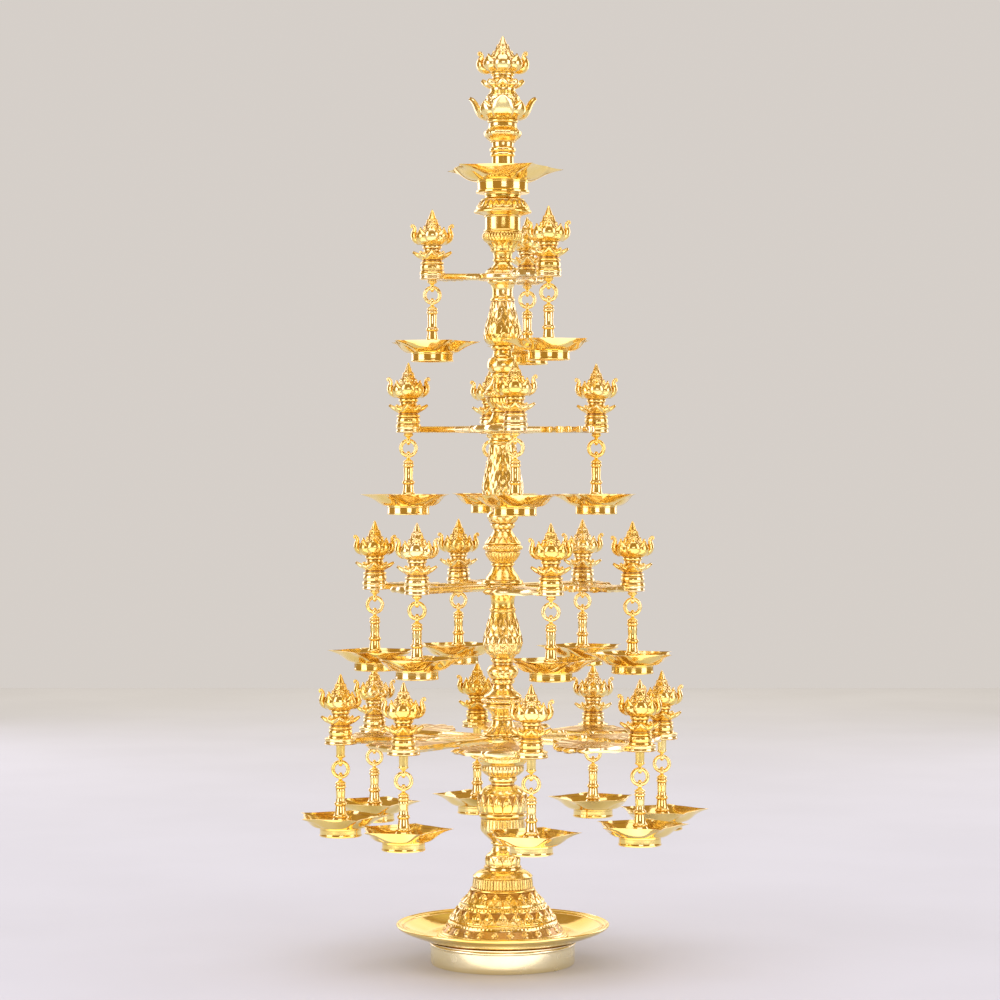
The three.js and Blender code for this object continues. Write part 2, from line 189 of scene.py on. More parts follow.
class Finish:
    """A material and its node tree."""

    def __init__(self, name):
        self.material = bpy.data.materials.new(name)
        self.material.use_nodes = True
        self.nodes = self.material.node_tree.nodes
        self.links = self.material.node_tree.links
        self.shader = self.nodes["Principled BSDF"]
        self.place = self.node("ShaderNodeTexCoord", {}, {}, "Object")

    def node(self, kind, settings, inputs, output=0):
        """Adds a node, sets its settings first and then its inputs, and gives one output."""
        made = self.nodes.new(kind)
        for key, value in settings.items():
            setattr(made, key, value)
        for key, value in inputs.items():
            self.put(made.inputs[key], value)
        return Value(self, made.outputs[output])

    def put(self, socket, value):
        if isinstance(value, Value):
            self.links.new(value.socket, socket)
        else:
            socket.default_value = value

    def set(self, **inputs):
        for key, value in inputs.items():
            self.put(self.shader.inputs[key.replace("_", " ")], value)

    def noise(self, scale, detail=2.0, stretch=None):
        """Soft noise in metres of the piece; stretch squeezes it along the axes."""
        place = self.place
        if stretch:
            place = self.node("ShaderNodeMapping", {}, {"Vector": place, "Scale": stretch})
        return self.node("ShaderNodeTexNoise", {}, {"Vector": place, "Scale": scale, "Detail": detail})

    def mix(self, share, a, b):
        """Colour a where share is 0, colour b where it is 1."""
        made = self.nodes.new("ShaderNodeMix")
        made.data_type = "RGBA"
        self.put(made.inputs["Factor"], share)
        self.put(made.inputs["A"], a)
        self.put(made.inputs["B"], b)
        return Value(self, made.outputs["Result"])

    def bump(self, height, distance):
        """Tilts the surface by a height from 0 to 1; distance is its depth in metres."""
        values = {"Height": height, "Distance": distance}
        self.set(Normal=self.node("ShaderNodeBump", {}, values))


def brass(name, bright, mid, dark, rough, marks):
    """Brass in three tones: bright where it is rubbed, mid on most of it and dark in the grooves,
    the dark partly patina and partly painted shade, with slow colour drift, smudges in the polish
    and turning marks of the given height."""
    finish = Finish(name)
    darkening = finish.node("ShaderNodeAttribute", {"attribute_name": "darkening"}, {}, "Fac")
    drift = finish.noise(14, 3).between(0.35, 0.65)
    smudge = finish.noise(55, 4)
    rings = finish.noise(60, 3, (0.02, 0.02, 12))
    tone = finish.mix(drift, (*mid, 1), (*bright, 1))
    # The dark tone is painted shade in the hollows as well as patina: the darkening mask, faded by the
    # smudge noise, mixes it in.
    patina_and_painted_shade = darkening.between(0.12, 0.95) * (0.55 + 0.45 * smudge)
    finish.set(
        Base_Color=finish.mix(patina_and_painted_shade, tone, (*dark, 1)),
        Metallic=1.0,
        Roughness=rough + 0.10 * smudge.between(0.45, 0.75) + 0.22 * darkening.between(0.2, 1.0),
    )
    pits = finish.noise(900, 2).between(0.62, 0.8)
    finish.bump(rings * 0.6 - pits * 0.35 + smudge * 0.5, marks)
    return finish.material


# The third colour is the dark in the hollows: partly patina, partly painted shade.
satin_brass = brass(
    "satin_brass_turned", (1.0, 0.92, 0.62), (1.0, 0.90, 0.57), (0.84, 0.62, 0.28), 0.22, 0.00004
)

foot = outline(
    (86.4, 0.8), (87.2, 0), None, (91.6, 0), (92.8, 0.7), (FOOT_RADIUS, 2.6), None,
    (93.6, 24.2), None, (94.2, 24.5), (94.9, 25.6), (94.9, 27.2), (94.2, 28.2), None,
    (93.4, 28.6), (93.4, FOOT_HEIGHT), None, (86.4, FOOT_HEIGHT), None, (86.4, 0.8),
)[:-1]
piece(
    "foot_ring_turned", [revolve(foot, 192, joined=True)], satin_brass, "stand", ["base_foot_ring"]
)


# ---------------------------------------------------------------------------------------------
# Dish: a wide shallow drip pan spun from sheet, polished bright, with turned rings round its rim.
# Its floor is clamped between the bell above and a washer and nut on the column's stud below.
DISH_RADIUS = 138.0

# The third colour is the dark in the hollows: partly patina, partly painted shade.
polished_brass = brass(
    "polished_brass_bright", (0.99, 0.80, 0.33), (0.96, 0.71, 0.19), (0.48, 0.21, 0.01), 0.09, 0.00006
)

dish = outline(
    (6, 31), None, (91, 31), (95.6, 31.5), (103, 33.6), (114, 37.4), (124, 41), (132, 44.6),
    (136.4, 47.4), (DISH_RADIUS, 49.6), (137.6, 51), (136, 51.4), None, (134.6, 50.4),
    (133.2, 50), None, (132.4, 50.2), (131, 49.9), (129.6, 49), None, (128.6, 48.2),
    (127.2, 47.8), None, (126.2, 47.9), (125, 47.4), None, (118, 44.2), (109, 40.4),
    (101, 37.6), (95, 36.9), (89, 36.7), None, (6, 36.7), None, (6, 31),
    steps=5,
)[:-1]
piece("dish_spun", [revolve(dish, 240, joined=True)], polished_brass, "stand", ["base_dish"])
for name in ("base_washer", "base_nut"):
    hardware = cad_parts[name]
    hardware.data.materials.clear()
    hardware.data.materials.append(satin_brass)


# ---------------------------------------------------------------------------------------------
# Bell: a hollow cast bell chased all over in bands: reeds, leaves, a row of beads, smaller leaves
# and a wreath of flowers along the hem. It stands on the dish and carries the column.
def window(value, low, high, soft=0.8):
    """1 between low and high, falling smoothly to 0 over soft on both sides."""
    rise = np.clip((value - low) * 4 / soft, -30, 30)
    fall = np.clip((value - high) * 4 / soft, -30, 30)
    return 1 / (1 + np.exp(-rise)) / (1 + np.exp(fall))


def reeds(angle, count, depth):
    """Upright rounded reeds: the height falls to depth in the creases between them."""
    return -depth * (1 - np.sqrt(np.abs(np.sin(angle * count / 2))))


def beads(angle, z, count, middle, size, height):
    """A row of round beads on the line at that height."""
    u = (angle * count / (2 * np.pi)) % 1 - 0.5
    v = (z - middle) / (2 * size)
    return height * np.sqrt(np.clip(1 - 4 * (u * u * 0.9 + v * v), 0, 1)) - 0.35 * height * (
        np.abs(v) < 0.5
    )


def leaves(angle, z, count, low, high, height, shift=0.0):
    """A row of pointed leaves or petals with a raised rim, a sunk field and a raised middle rib."""
    u = np.abs((angle * count / (2 * np.pi) + shift) % 1 - 0.5) * 2
    v = np.clip((z - low) / (high - low), 0, 1)
    inside = np.clip(1 - v**2.2 - u**1.4 * 1.02, -1, 1)
    rim = np.exp(-((inside - 0.10) ** 2) / 0.010)
    rib = np.exp(-(u**2) / 0.012) * (inside > 0)
    body = np.clip(inside * 3, 0, 1) * (0.45 + 0.4 * inside)
    row = window(z, low, high, 0.5)
    return height * row * (body + 0.55 * rim + 0.4 * rib - 0.75 * (inside < 0.02))


def flowers(angle, z, count, middle, size, radius, height):
    """A row of round flowers with six petals, a raised eye and a ring of seed dots between."""
    u = ((angle * count / (2 * np.pi)) % 1 - 0.5) * 2 * np.pi * radius / count
    v = z - middle
    r = np.hypot(u, v) / size
    turn = np.arctan2(v, u)
    petal = np.clip(1 - np.abs(r - 0.56) / (0.25 + 0.17 * np.cos(6 * turn)), 0, 1)
    eye = np.exp(-((r / 0.22) ** 2))
    ground = 0.28 * np.cos(u * 2.1) * np.cos(v * 2.4) * (r > 1)
    return height * (petal**0.6 + eye - 0.55 + ground)


# The third colour is the dark in the hollows: partly patina, partly painted shade.
cast_brass = brass(
    "cast_brass_chased", (0.99, 0.81, 0.36), (0.95, 0.69, 0.17), (0.38, 0.14, 0.006), 0.14, 0.00014
)


def bell_relief(angle, z):
    bands = window(z, 99, 111.5) * reeds(angle, 60, 1.4)
    bands += window(z, 79, 95) * leaves(angle, z, 16, 79, 94.6, 1.6)
    bands += window(z, 79, 89) * leaves(angle, z, 16, 79, 88.6, 1.1, 0.5)
    bands += window(z, 74, 78) * beads(angle, z, 60, 76, 1.9, 1.4)
    bands += window(z, 57, 73) * leaves(angle, z, 22, 57, 72.6, 1.6)
    bands += window(z, 57, 65) * leaves(angle, z, 22, 57, 64.8, 1.2, 0.5)
    bands += window(z, 52.4, 56) * beads(angle, z, 84, 54.2, 1.7, 1.2)
    bands += window(z, 42.6, 51.6) * flowers(angle, z, 24, 47.2, 4.6, 74, 1.5)
    return bands + window(z, 38, 41.2) * beads(angle, z, 96, 39.6, 1.6, 0.8)


bell = outline(
    (80.5, 37), None, (85, 37), (85.3, 37.8), (84.6, 38.4), None, (83, 38.8), (80.4, 40.6), None,
    (79.8, 41.4), (77.4, 44.6), (73.6, 49.2), (70.8, 53), (67.8, 57.6), (64.8, 62.8),
    (61.8, 67.8), (58.4, 72.8), (54.4, 77.8), (50, 82.6), (46, 87.2), (43, 91.6),
    (41.4, 95), None, (42, 96), (41.6, 97.4), (40.4, 98.2), None,
    (39.6, 99), (39.2, 104), (38.2, 111.6), None, (38.8, 112.6), (37.8, 114), None, (36.6, 115),
    (33, 118), (28.6, 120.2), (25.4, 121.4), None, (24.8, 122), (24.4, 124.7), None, (6, 124.7),
    None, (6, 118), None, (28, 108), (34, 98), (38, 88), (50, 74), (58, 64), (66, 48),
    (80.5, 37),
    steps=6,
)[:-1]
piece(
    "bell_chased", [revolve(bell, 340, bell_relief, True)], cast_brass, "stand", ["base_bell"], 60
)


# ---------------------------------------------------------------------------------------------
# Lower column: a cast and turned baluster, its dome chased with leaves, screwed down through the
# bell with a long stud. The lowest tier's hub rests on its top flange.
def lower_relief(angle, z):
    bands = window(z, 196, 219) * leaves(angle, z, 16, 197, 219, 1.2)
    bands += window(z, 172, 187) * reeds(angle, 28, 1.0)
    bands += window(z, 127, 139) * leaves(angle, z, 12, 127, 139, 0.8)
    bands += window(z, 262, 270) * beads(angle, z, 36, 266, 2.2, 0.9)
    return bands + window(z, 243, 256) * reeds(angle, 24, 0.9)


lower_column = outline(
    (5, 19.8), None, (5, 125.1), None, (22.6, 125.1), (23.2, 126), (22.6, 127.2), None,
    (21.8, 128), (22.6, 132), (22, 138), (19.4, 141.6), None, (15.4, 144.6), (13.4, 149),
    (13, 153), None, (15.2, 154.6), (15.4, 156.4), (14.6, 157.6), None, (18.2, 161),
    (23, 165.4), (27.2, 170), (29, 174.6), (28.6, 182), (28.2, 188), None, (30, 189.6),
    (31.2, 191.6), (30.8, 194), None, (29.8, 194.8), (31.4, 199), (32.6, 205), (32.4, 212),
    (30.2, 220), (25.4, 226), (18.6, 230), None, (15.2, 231), (15.4, 234), None,
    (18, 236.6), (18.4, 239.6), (17.4, 241.6), None, (20.4, 243), (26, 247.4), (27.8, 251.4),
    (27.4, 257), None, (29.4, 259), (31.8, 262.4), (31.8, 266.4), (30, 269.4), None,
    (26.6, 270.4), (24, 274), (23.4, 279), (26, 283.6), None, (27, 284.4), (27, 286.6), None,
    (5, 286.6),
)
piece(
    "lower_column_chased", [revolve(lower_column, 192, lower_relief)], cast_brass, "stand",
    ["lower_column"], 50,
)


# ---------------------------------------------------------------------------------------------
# Column sections: cast and lathe-turned balusters, screwed together through the hubs of the arms.
# Each has a flared foot, a knob of two rings, a bulb, and a pear or skirt chased with leaves.
def scales(angle, z, count, low, high, rows, height):
    """Rows of overlapping leaves, each row shifted by half a leaf."""
    total = 0 * z
    pitch = (high - low) / rows
    for row in range(rows):
        start = low + row * pitch
        total += leaves(angle, z, count, start, start + pitch * 1.12, height, 0.5 * (row % 2))
    return total


def section_4_relief(angle, z):
    bands = window(z, 400, 446) * scales(angle, z, 12, 400, 446, 4, 0.8)
    bands += window(z, 337.6, 343) * beads(angle, z, 30, 340.3, 2.2, 1.2)
    return bands + window(z, 296, 306) * leaves(angle, z, 14, 296, 307, 0.9)


section_4 = outline(
    (5, 295.3), None, (26, 295.3), (26.6, 296.6), (25.4, 298.6), None, (22, 300), (17.6, 304.4),
    (14.6, 309.6), (13.4, 315), None, (15.4, 316.4), (15.6, 318.2), (14.6, 319.4), None,
    (15.4, 322), (19.6, 327), (24.4, 330.4), (26, 333), (24.4, 335.6), None, (23.4, 336.6),
    (26.4, 338.4), (27.4, 340.4), (26.4, 342.6), (23.4, 344), None, (24.6, 345.2), (23, 348),
    (18.6, 351.4), (14.4, 355), (12.2, 361), None, (14.8, 363), (15.6, 366), (14.6, 368), None,
    (17.4, 370), (20, 375), (20.2, 380), (17.4, 384.6), None, (13.6, 386.4), (13.2, 389.4),
    None, (15.2, 391), (15.8, 393.4), (15, 395.2), None, (18.4, 399), (22.4, 404), (24.8, 412),
    (24.6, 421), (22, 432), (18.4, 445), (16, 455), None, (17, 456.6), (17, 458.6), (15.6, 460),
    None, (14.8, 464), (15.4, 471), (17.4, 477), (19.8, 481), None, (20.6, 482.3), None,
    (5, 482.3),
)


def section_3_relief(angle, z):
    bands = window(z, 600, 668) * scales(angle, z, 14, 600, 668, 6, 0.6)
    bands += window(z, 535, 541) * beads(angle, z, 30, 538, 2.3, 1.2)
    bands += window(z, 520, 532) * reeds(angle, 24, 0.8)
    return bands + window(z, 543, 553) * leaves(angle, z, 14, 543, 553, 0.8)


section_3 = outline(
    (5, 491.2), None, (26, 491.2), (26.6, 493), (25.4, 496), None, (22.8, 497), (20, 502),
    (15.6, 508), (12.9, 514), None, (15, 515.4), (15.2, 517), (14.4, 518.4), None, (16.6, 520.6),
    (21.4, 527), (23, 532), None, (22.4, 533.6), (24.6, 535.8), (25.2, 538), (24.6, 540.4),
    (22.4, 542.4), None, (23, 543.6), (20.6, 547), (16.2, 553), (12.4, 559), (12, 562), None,
    (14.4, 563.6), (15.6, 567), (15, 569.4), None, (17.4, 571.6), (19.8, 576.6), (19.6, 581),
    (17.6, 584.6), None, (14.4, 586.4), (14.4, 589), None, (16.4, 590.6), (17.2, 593),
    (16.6, 595.4), None, (20.6, 598.4), (24.8, 603.4), (26.4, 610), (25.8, 622), (23, 636),
    (20, 648), (18, 662), (17.4, 672), None, (18.6, 673.4), (18.6, 675.6), (17.2, 677), None,
    (17, 680), (18.8, 683.6), None, (20.6, 685), (20.6, 686.2), None, (5, 686.2),
)


def section_2_relief(angle, z):
    bands = window(z, 801, 856) * scales(angle, z, 13, 801, 856, 5, 0.6)
    bands += window(z, 734, 739) * beads(angle, z, 30, 736.4, 2.2, 1.2)
    return bands + window(z, 722, 732) * reeds(angle, 22, 0.8)


section_2 = outline(
    (5, 695.1), None, (24, 695.1), (24.6, 696.6), (23.6, 699), None, (20.8, 700.4), (16, 706),
    (13, 713), None, (15, 714.6), (15.2, 716.6), (14, 718), None, (15.8, 720), (20.6, 725.4),
    (22.6, 730.6), None, (22, 732), (24.2, 734), (24.9, 736.4), (24.2, 739), (22, 740.8), None,
    (22.4, 742), (19.8, 746), (15.6, 751), (13, 757.6), None, (15, 759), (15.6, 761.6),
    (14.6, 763.8), None, (17.4, 766), (19.6, 771), (19.8, 777), (17.8, 782.4), None,
    (14.2, 784.4), (12.4, 789), (12.2, 793), None, (14.6, 795), (15.2, 797), (14.6, 798.8), None,
    (19.6, 802), (23.4, 807.6), (24.2, 814), (22.8, 823), (19.6, 834), (16.6, 846),
    (14.6, 856), None, (15.8, 857.4), (15.8, 859.4), (14.4, 861), None, (13.2, 865),
    (13.4, 872), (15.6, 878), None, (19, 880.6), (19.6, 883.1), None, (5, 883.1),
)


def goblet_relief(angle, z):
    bands = window(z, 935, 944.6) * reeds(angle, 34, 1.3)
    bands += window(z, 976, 985.6) * leaves(angle, z, 22, 975.6, 986, 1.0)
    bands += window(z, 921, 931) * leaves(angle, z, 12, 920, 932, 0.7)
    return bands + window(z, 892, 900) * leaves(angle, z, 12, 892, 901, 0.7)


goblet = outline(
    (5, 892.1), None, (21.6, 892.1), (22, 893.6), (20.8, 895.6), None, (17.4, 898.6), (13, 903),
    (10.9, 907), None, (12.6, 908.6), (12.8, 910.4), (11.8, 911.8), None, (11.6, 914),
    (12.6, 918.4), (14, 920.6), None, (15.2, 921.6), (15, 924), (17, 928), (21.6, 933), None,
    (23, 933.6), (25.6, 936.6), (26.6, 940), (25.6, 944), (24.2, 946), None, (24.8, 947),
    (24.2, 948.6), None, (22.8, 949.4), (22.6, 964.6), None, (23.8, 965.6), (24.2, 967), None,
    (27.6, 968.4), (33.4, 969.8), None, (36.6, 970.6), (37.2, 972), (36.6, 973.6), None,
    (35.2, 974.4), (32, 980), (28.4, 986), None, (28.6, 987), (27, 988.4), None, (23.4, 989.2),
    (22.6, 991.9), None, (5, 991.9),
)

for tier, (profile, relief) in {
    4: (section_4, section_4_relief),
    3: (section_3, section_3_relief),
    2: (section_2, section_2_relief),
    1: (goblet, goblet_relief),
}.items():
    piece(
        f"column_section_{tier}_chased", [revolve(profile, 192, relief)], cast_brass, "stand",
        [f"column_section_{tier}"], 50,
    )


# ---------------------------------------------------------------------------------------------
# Arms: each tier is one flat casting, a hub with straight spokes, each with a vine scroll on one
# side that curls out to a leaf and back to the disc the lamp hangs from. Edges are eased by hand.
PLATE = 8.0
EDGE = 5.6  # half the width of a spoke
TIERS = {
    1: {"z": 887.8, "reach": 92.0, "arms": 3, "first": -50.7, "drop": 24.2, "disc": 16.0},
    2: {"z": 690.8, "reach": 122.5, "arms": 4, "first": -82.7, "drop": 24.2, "disc": 16.0},
    3: {"z": 486.9, "reach": 169.0, "arms": 6, "first": -9.3, "drop": 24.2, "disc": 16.0},
    4: {"z": 291.0, "reach": 211.0, "arms": 8, "first": -35.5, "drop": 36.6, "disc": 20.5},
}


def smoothstep(value, low, high):
    t = np.clip((value - low) / (high - low), 0, 1)
    return t * t * (3 - 2 * t)


def arm_plate(reach, rows=110, columns=20):
    """One arm along +X as a slab: its near edge is straight and its far edge swings out to a lobed
    vine leaf. Both faces carry a raised stem, veins to each lobe and a curled volute."""
    share = np.linspace(24 / reach, 1, rows)[:, None]
    swell = np.interp(
        share, [0.0, 0.40, 0.47, 0.54, 0.62, 0.72, 0.82, 0.90, 0.96, 1.0],
        [0.0, 0.0, 0.10, 0.22, 0.33, 0.41, 0.41, 0.31, 0.15, 0.0],
    )
    lobes = 0.05 * np.abs(np.sin((share - 0.4) * np.pi / 0.1)) * smoothstep(share, 0.4, 0.5)
    far = EDGE + reach * np.maximum(swell - 0.05 * (swell > 0.05) + lobes * (swell > 0.05), 0)
    half = np.linspace(0, 1, columns)
    u = np.concatenate([half, half[-2:0:-1]])[None]
    top = np.concatenate([np.ones(columns), -np.ones(columns - 2)])[None]
    around = u.size
    x = share * reach + 0 * u
    y = EDGE - (far + EDGE) * u
    round_edge = (1 - np.abs(2 * u - 1) ** 26) ** (1 / 6)
    dx, dy = x - 0.79 * reach, y + 0.19 * reach
    r, turn = np.hypot(dx, dy) / reach, np.arctan2(dy, dx)
    volute = np.cos(2 * np.pi * r / 0.052 - turn) * (1 - smoothstep(r, 0.115, 0.145))
    veins = np.cos(turn * 11) * smoothstep(r, 0.13, 0.17) * smoothstep(u, 0.25, 0.5)
    stem = np.exp(-(((y - 0.2) / 2.6) ** 2)) * 1.5
    border = np.exp(-((((1 - u) * (far + EDGE) - 2.2) / 1.1) ** 2))
    leafy = smoothstep(far, 9, 20)
    carved = 0.7 * (leafy * (volute + 0.8 * veins + border - 0.6) + stem - 0.5)
    z = top * np.minimum(PLATE / 2 - 0.1 + carved, PLATE / 2 + 0.4) * round_edge
    # Sunk carving is darkened, partly patina and partly painted shade.
    deep = np.clip(-carved, 0, 0.8) * round_edge
    points = np.stack([x, y, z], -1).reshape(-1, 3)
    caps = [np.arange(around)[::-1], np.arange(around) + (rows - 1) * around]
    return points, grid_quads(rows, around), caps, deep.ravel()


def arm(reach, disc):
    """One arm along +X and the round disc at its end."""
    round_edge = outline(
        (0.5, -PLATE / 2), None, (disc - 1.4, -PLATE / 2), (disc - 0.3, -PLATE / 2 + 0.5),
        (disc, -PLATE / 2 + 1.6), None, (disc - 0.6, -0.6), (disc - 0.6, 0.6), None,
        (disc, PLATE / 2 - 1.6), (disc - 0.3, PLATE / 2 - 0.5), (disc - 1.4, PLATE / 2), None,
        (0.5, PLATE / 2), steps=3,
    )
    return [arm_plate(reach), moved(revolve(round_edge, 48), reach)]


hub = outline(
    (6, -PLATE / 2), None, (29.6, -PLATE / 2), (31.4, -PLATE / 2 + 0.8), (32, -PLATE / 2 + 2.2),
    None, (32, PLATE / 2 - 2.2), (31.4, PLATE / 2 - 0.8), (29.6, PLATE / 2), None,
    (6, PLATE / 2), steps=4,
)


def tier_places(tier):
    """x, y and direction in degrees of each arm's disc."""
    turns = tier["first"] - np.arange(tier["arms"]) * 360 / tier["arms"]
    a = np.radians(turns)
    return zip(tier["reach"] * np.cos(a), tier["reach"] * np.sin(a), turns)


# The third colour is the dark in the hollows: partly patina, partly painted shade.
arm_brass = brass(
    "cast_brass_filed", (1.0, 0.85, 0.46), (0.97, 0.78, 0.32), (0.45, 0.19, 0.02), 0.14, 0.00012
)
for number, tier in TIERS.items():
    shells = [moved(revolve(hub, 96), z=tier["z"])]
    for x, y, turn in tier_places(tier):
        shells += [moved(s, z=tier["z"], turn=turn) for s in arm(tier["reach"], tier["disc"])]
    name = f"tier_{number}_arms"
    piece(f"{name}_scrolled", shells, arm_brass, "stand", [name], 50)


# ---------------------------------------------------------------------------------------------
# Arm finials: a lotus cast in one piece and screwed through each disc: a ringed drum, a collar of
# pointed petals, and a crown of curled petals round a ribbed bud.
def leaf(path, widths, thick, direction, around=10, fold=0.25, cup=0.0):
    """A petal: an oval section carried along a path of (radius, height) in the upright plane at
    that direction in degrees. fold creases it along the middle and cup bends its sides outward."""
    path = np.asarray(path, float)
    along = np.gradient(path, axis=0)
    along /= np.linalg.norm(along, axis=1)[:, None] + 1e-9
    normal = np.stack([along[:, 1], -along[:, 0]], -1)
    a = -np.arange(around) * 2 * np.pi / around
    side = np.cos(a)
    rise = np.sin(a) * (1 - fold * np.exp(-((side / 0.3) ** 2)))
    across = np.asarray(widths)[:, None] * side
    out = np.asarray(thick)[:, None] * rise + cup * np.asarray(widths)[:, None] * side**2
    r = path[:, :1] + out * normal[:, :1]
    z = path[:, 1:] + out * normal[:, 1:]
    points = np.stack([r, across, z], -1).reshape(-1, 3)
    rows = len(path)
    # The middle line of each face, where the fold creases it, is darkened, partly patina and partly
    # painted shade.
    deep = np.clip(np.exp(-((side / 0.22) ** 2)) * 0.7 + 0 * r, 0, 1).ravel()
    caps = [np.arange(around)[::-1], np.arange(around) + (rows - 1) * around]
    return moved((points, grid_quads(rows, around), caps, deep), turn=direction)


def petal(points, width, thick, direction, steps=4, tip=0.12, belly=0.45, **more):
    """A petal along a smooth path, widest at belly of its length and narrow at its tip."""
    path = outline(*points, steps=steps)
    t = np.linspace(0, 1, len(path))
    bulge = np.where(
        t < belly,
        0.55 + 0.45 * np.sin(np.pi / 2 * t / belly),
        np.cos(np.pi / 2 * (t - belly) / (1 - belly)) ** 0.8,
    )
    share = np.maximum(bulge, tip)
    return leaf(path, width * share, thick * (0.45 + 0.55 * share), direction, **more)


drum = outline(
    (0.5, -0.5), None, (15.2, -0.5), (15.9, 1), (15.4, 2.6), None, (14.2, 3), (15, 5.4),
    (15.2, 8), (14.4, 10.4), None, (13.4, 11), (14.8, 12), (15.2, 13.2), (14.2, 14.6), None,
    (12.6, 15), (12.6, 16.6), None, (13.6, 17), (15.8, 18.4), (18, 21), (19, 23.6),
    (16.4, 25.6), (12.2, 27), (10.8, 29), (10.6, 31), None, (12, 32), (12.4, 34), (12, 35.6),
    None, (13.4, 36.4), (17.6, 38.4), (21.2, 42), (22.4, 46), (21.2, 50), (18.4, 52.6), None,
    (15.2, 53.4), (12.8, 55.4), (10.9, 58), None, (11.2, 58.6), (11, 60.2), (9.8, 61.2), None,
    (8.8, 61.8), (7.8, 64), (7, 66.6), None, (7.2, 67.2), (7, 68.6), (6.2, 69.4), None,
    (5.4, 70), (4.2, 73), (2.9, 76.6), (1.7, 79.8), (0.4, 82), steps=3,
)


def drum_relief(angle, z):
    bands = window(z, 3.6, 9.4) * reeds(angle, 18, 0.9)
    bands += window(z, 53, 61) * leaves(angle, z, 8, 52.6, 61.4, 1.0)
    bands += window(z, 61.6, 69) * leaves(angle, z, 6, 61.6, 69.4, 0.8)
    return bands + window(z, 37.4, 52) * leaves(angle, z, 8, 37, 52, 1.7, 0.5)


def lotus_finial():
    shells = [revolve(drum, 56, drum_relief)]
    for k in range(8):
        big = k % 2 == 0
        points = [(8, 21), (13, 21.4), (18.4, 23.2), (25 if big else 21.4, 27.4)]
        shells.append(petal(points, 10 if big else 7, 3.8, k * 45, tip=0.05, belly=0.3))
    curl = [(10, 40.4), (17, 40), (22, 42.6), (24.2, 47.6), (23.6, 52.6), (22.6, 56.4), (23, 60.4)]
    hook = [(22.2, 57.6), (23.6, 61), (26.2, 61.8), (27, 59.6), (25.6, 58.2)]
    for k in range(4):
        shells.append(petal(curl, 9.4, 4.0, k * 90, tip=0.3, belly=0.45, fold=0.3, cup=-0.14))
        shells.append(petal(hook, 2.6, 1.5, k * 90, 4, tip=0.55, fold=0.0))
        flame = [(13, 40), (19.4, 42), (21.6, 46.4), (20.6, 51.4), (20.6, 55.4)]
        shells.append(petal(flame, 8.4, 3.2, k * 90 + 45, tip=0.10, fold=0.3, cup=-0.1))
        small = [(15, 48), (16.4, 52.4), (14.8, 56.6), (15.4, 59.4)]
        shells.append(petal(small, 5.4, 2.2, k * 90, tip=0.10))
    return shells


finial = lotus_finial()
for number, tier in TIERS.items():
    shells = []
    for x, y, turn in tier_places(tier):
        shells += [moved(s, x, y, tier["z"] + PLATE / 2) for s in finial]
    piece(f"tier_{number}_lotus_finials", shells, cast_brass, "stand", corner=60)


# ---------------------------------------------------------------------------------------------
# Pendants: a short turned stub under each disc, ending in a flattened eye that the ring runs
# through. The finial's screw comes down through the disc into it.
RING_RADIUS = 9.7
WIRE = 2.5


def wire_ring(mean, wire, around=14, count=56, flat=1.0):
    """A round wire bent to a ring in the XZ plane about the origin; flat widens it along Y."""
    a = np.arange(count)[:, None] * 2 * np.pi / count
    b = np.arange(around)[None] * 2 * np.pi / around
    r = mean + wire * np.cos(b)
    points = np.stack([r * np.cos(a), wire * flat * np.sin(b) + 0 * a, r * np.sin(a)], -1)
    quads = grid_quads(count, around, True)
    return points.reshape(-1, 3), quads, [], np.zeros(count * around)


def eye_loop():
    """A ring turned to stand in the YZ plane, with its hole along X."""
    return moved(wire_ring(4.7, 1.3, 12, 36, 1.8), turn=90)


for number, tier in TIERS.items():
    top = 1.0 - PLATE / 2
    low = RING_RADIUS - tier["drop"] + 4.2
    stub = outline(
        (0.5, low), None, (2.6, low), (4.2, low + 0.6), (5.4, low + 1.8), None,
        (6.2, low + 2.2), (6.5, low + 3), (6.1, low + 3.8), None,
        (5.6, low + 4.2), (5.9, top - 1.6), None, (7.2, top - 1.2), (7.4, top), None, (0.5, top),
        steps=4,
    )
    shells = []
    for x, y, turn in tier_places(tier):
        shells.append(moved(revolve(stub, 32), x, y, tier["z"]))
        shells.append(moved(eye_loop(), x, y, tier["z"] - tier["drop"] + RING_RADIUS))
    piece(f"tier_{number}_pendants", shells, polished_brass, "stand", corner=50)


# ---------------------------------------------------------------------------------------------
# Rings: brass wire bent to a ring and closed, one through each pendant's eye. Each rocks on its
# eye and the lamp's own eye slides round it.
for number, tier in TIERS.items():
    for k, (x, y, turn) in enumerate(tier_places(tier), 1):
        name = f"ring_t{number}_{k}"
        shell = moved(wire_ring(RING_RADIUS, WIRE), x, y, tier["z"] - tier["drop"])
        piece(f"{name}_wire", [shell], polished_brass, name, [name])


# ---------------------------------------------------------------------------------------------
# Hanging lamps: a five-spouted tray for oil and wicks with a turned post in its middle and a foot
# ring below, cast in one and polished. The post ends in an eye round the ring's lowest part.
TRAY_RIM = -59.6
TRAY_FLOOR = -74.6
FOOT_BOTTOM = -85.6
TRAY_TIP = 62.6
TRAY_VALLEY = 47.6
LAMP_FOOT = 27.3
TRAY_WALL = 1.8
SPOUT_DIRECTIONS = {
    1: (176, 5, 5),
    2: (176, 177, 4, 175),
    3: (177, 4, 6, 176, 3, 175),
    4: (4, 3, 5, 5, 4, 174, 26, 6),
}


